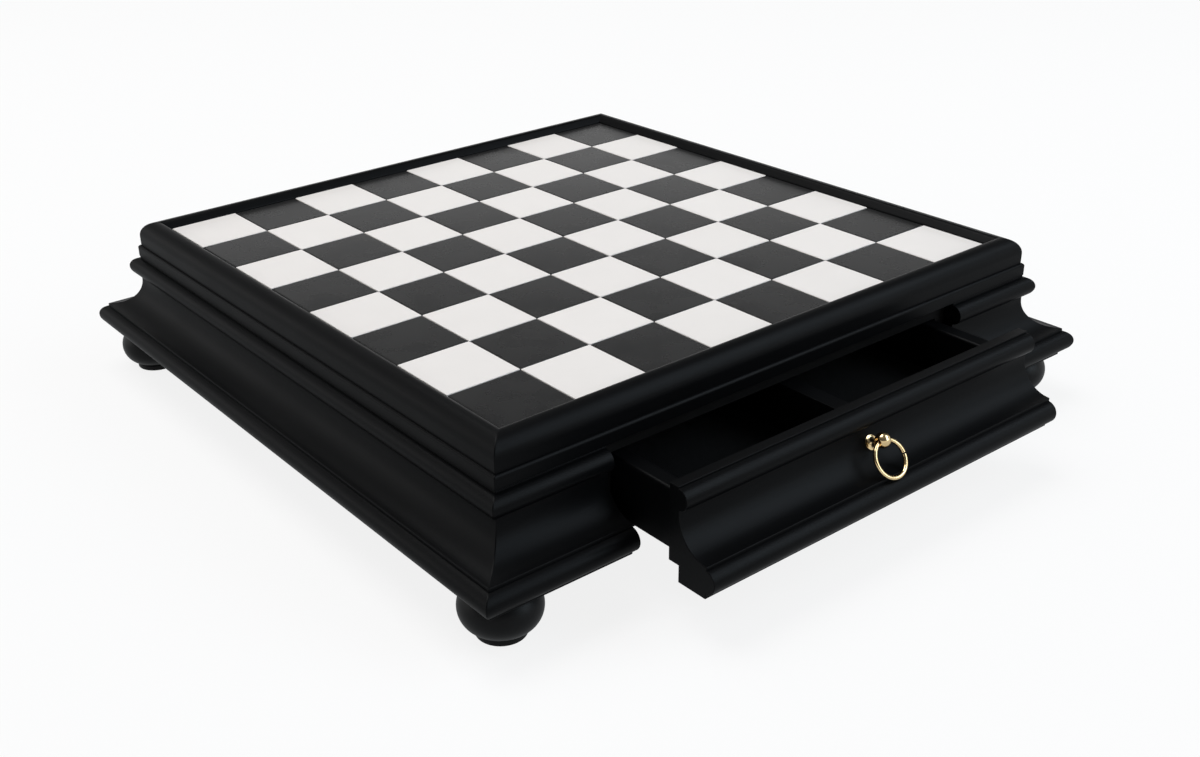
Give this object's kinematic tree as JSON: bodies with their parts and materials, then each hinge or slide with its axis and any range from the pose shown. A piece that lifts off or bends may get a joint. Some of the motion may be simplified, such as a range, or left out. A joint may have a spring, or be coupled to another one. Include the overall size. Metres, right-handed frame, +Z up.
{
  "type": "chess box with drawers",
  "caption": "Square chess board set in a mitred black frame over a moulded wooden case on ball feet, with divided drawers whose faces continue the moulding and carry brass ring pulls.",
  "frame": {"origin": "centre of the square box on the plane that its feet stand on", "axes": "+Z up out of the playing surface, -Y towards the front drawer, +X to the right of a player at that side"},
  "size_m": [0.3956, 0.44, 0.0896],
  "materials": {
    "black_lacquer": "satin black lacquer",
    "stained_board": "black stained plywood",
    "white_tile": "satin, warm white",
    "black_tile": "satin, grey-black",
    "brass": "polished",
    "felt": "short-haired felt",
    "screw_steel": "zinc plated"
  },
  "bodies": {
    "case": {"white_tiles": "white_tile", "black_tiles": "black_tile", "tile_backing": "stained_board", "frame_rail_front": "black_lacquer", "frame_rail_rear": "black_lacquer", "frame_rail_left": "black_lacquer", "frame_rail_right": "black_lacquer", "board_screws": "screw_steel", "top_panel": "stained_board", "bottom_panel": "black_lacquer", "side_moulding_left": "black_lacquer", "side_moulding_right": "black_lacquer", "corner_moulding_front_left": "black_lacquer", "corner_moulding_front_right": "black_lacquer", "corner_moulding_rear_left": "black_lacquer", "corner_moulding_rear_right": "black_lacquer", "drawer_guide_left": "stained_board", "drawer_guide_right": "stained_board", "centre_partition": "stained_board", "corner_blocks": "stained_board", "foot_front_left": "black_lacquer", "foot_front_right": "black_lacquer", "foot_rear_left": "black_lacquer", "foot_rear_right": "black_lacquer", "bottom_screws": "screw_steel"},
    "front_drawer": {"front_drawer_face": "black_lacquer", "front_drawer_side_left": "black_lacquer", "front_drawer_side_right": "black_lacquer", "front_drawer_back": "black_lacquer", "front_drawer_floor": "stained_board", "front_drawer_divider": "black_lacquer", "front_drawer_linings": "felt", "front_pull_post": "brass"},
    "front_ring": {"front_pull_ring": "brass"},
    "rear_drawer": {"rear_drawer_face": "black_lacquer", "rear_drawer_side_left": "black_lacquer", "rear_drawer_side_right": "black_lacquer", "rear_drawer_back": "black_lacquer", "rear_drawer_floor": "stained_board", "rear_drawer_divider": "black_lacquer", "rear_drawer_linings": "felt", "rear_pull_post": "brass"},
    "rear_ring": {"rear_pull_ring": "brass"}
  },
  "joints": [
    {"name": "front_drawer_slide", "type": "slide", "parent": "case", "child": "front_drawer", "axis": [0, -1, 0], "range_m": [-0.0444, 0.0756]},
    {"name": "rear_drawer_slide", "type": "slide", "parent": "case", "child": "rear_drawer", "axis": [0, 1, 0], "range_m": [0, 0.12]},
    {"name": "front_ring_swing", "type": "hinge", "parent": "front_drawer", "child": "front_ring", "pos_m": [0, -0.22867, 0.05215], "axis": [-1, 0, 0], "range_deg": [0, 155]},
    {"name": "rear_ring_swing", "type": "hinge", "parent": "rear_drawer", "child": "rear_ring", "pos_m": [0, 0.18427, 0.05215], "axis": [1, 0, 0], "range_deg": [0, 155]}
  ]
}
